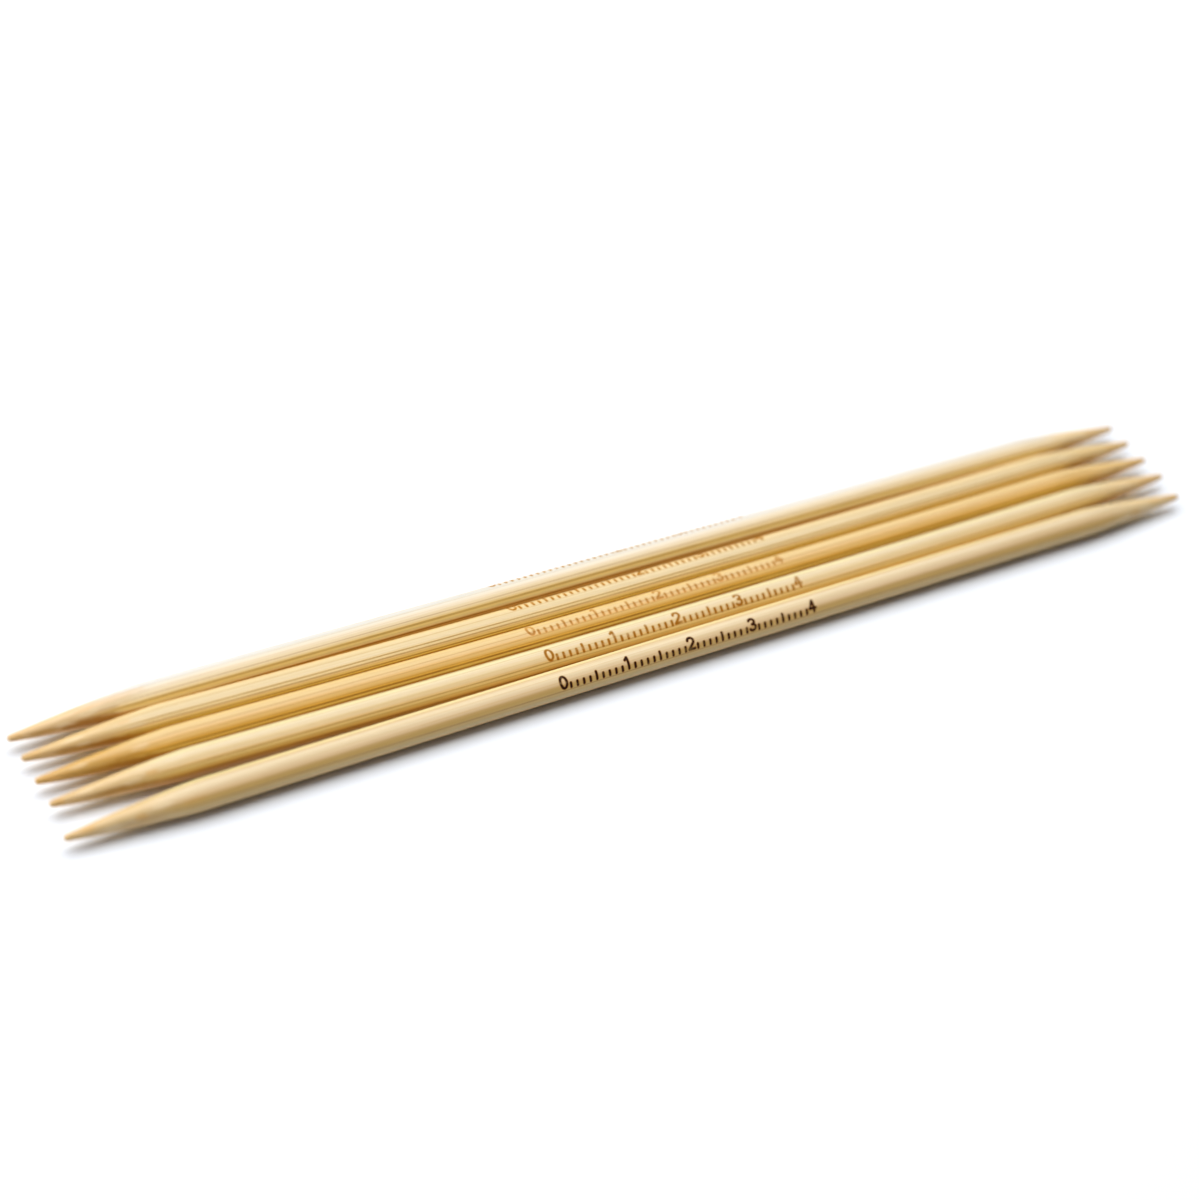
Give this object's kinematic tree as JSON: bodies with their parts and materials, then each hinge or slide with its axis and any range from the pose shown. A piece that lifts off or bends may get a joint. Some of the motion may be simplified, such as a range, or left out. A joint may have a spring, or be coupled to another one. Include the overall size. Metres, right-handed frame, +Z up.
{
  "type": "double pointed needle set",
  "caption": "Row of loose round bamboo knitting needles with the same long blunt-nosed taper at both ends, for knitting small tubes in the round.",
  "frame": {"origin": "on the table under the middle of the row, the bottom centre of the row's box", "axes": "+X along the needles, +Y from the front needle (needle_1) to the back one (needle_5), +Z up"},
  "size_m": [0.1784, 0.0214, 0.004],
  "materials": {
    "bamboo_1": "smooth bamboo, waxed satin, fine lengthwise fibres",
    "bamboo_2": "smooth bamboo, waxed satin, fine lengthwise fibres",
    "bamboo_3": "smooth bamboo, waxed satin, fine lengthwise fibres",
    "bamboo_4": "smooth bamboo, waxed satin, fine lengthwise fibres",
    "bamboo_5": "smooth bamboo, waxed satin, fine lengthwise fibres"
  },
  "bodies": {
    "needle_3": {"needle_3": "bamboo_3"},
    "needle_1": {"needle_1": "bamboo_1"},
    "needle_2": {"needle_2": "bamboo_2"},
    "needle_4": {"needle_4": "bamboo_4"},
    "needle_5": {"needle_5": "bamboo_5"}
  },
  "joints": [
    {"name": "lift_1", "type": "slide", "parent": "needle_3", "child": "needle_1", "axis": [0, 0, 1], "range_m": [0, 0.06]},
    {"name": "lift_2", "type": "slide", "parent": "needle_3", "child": "needle_2", "axis": [0, 0, 1], "range_m": [0, 0.06]},
    {"name": "lift_4", "type": "slide", "parent": "needle_3", "child": "needle_4", "axis": [0, 0, 1], "range_m": [0, 0.06]},
    {"name": "lift_5", "type": "slide", "parent": "needle_3", "child": "needle_5", "axis": [0, 0, 1], "range_m": [0, 0.06]}
  ]
}
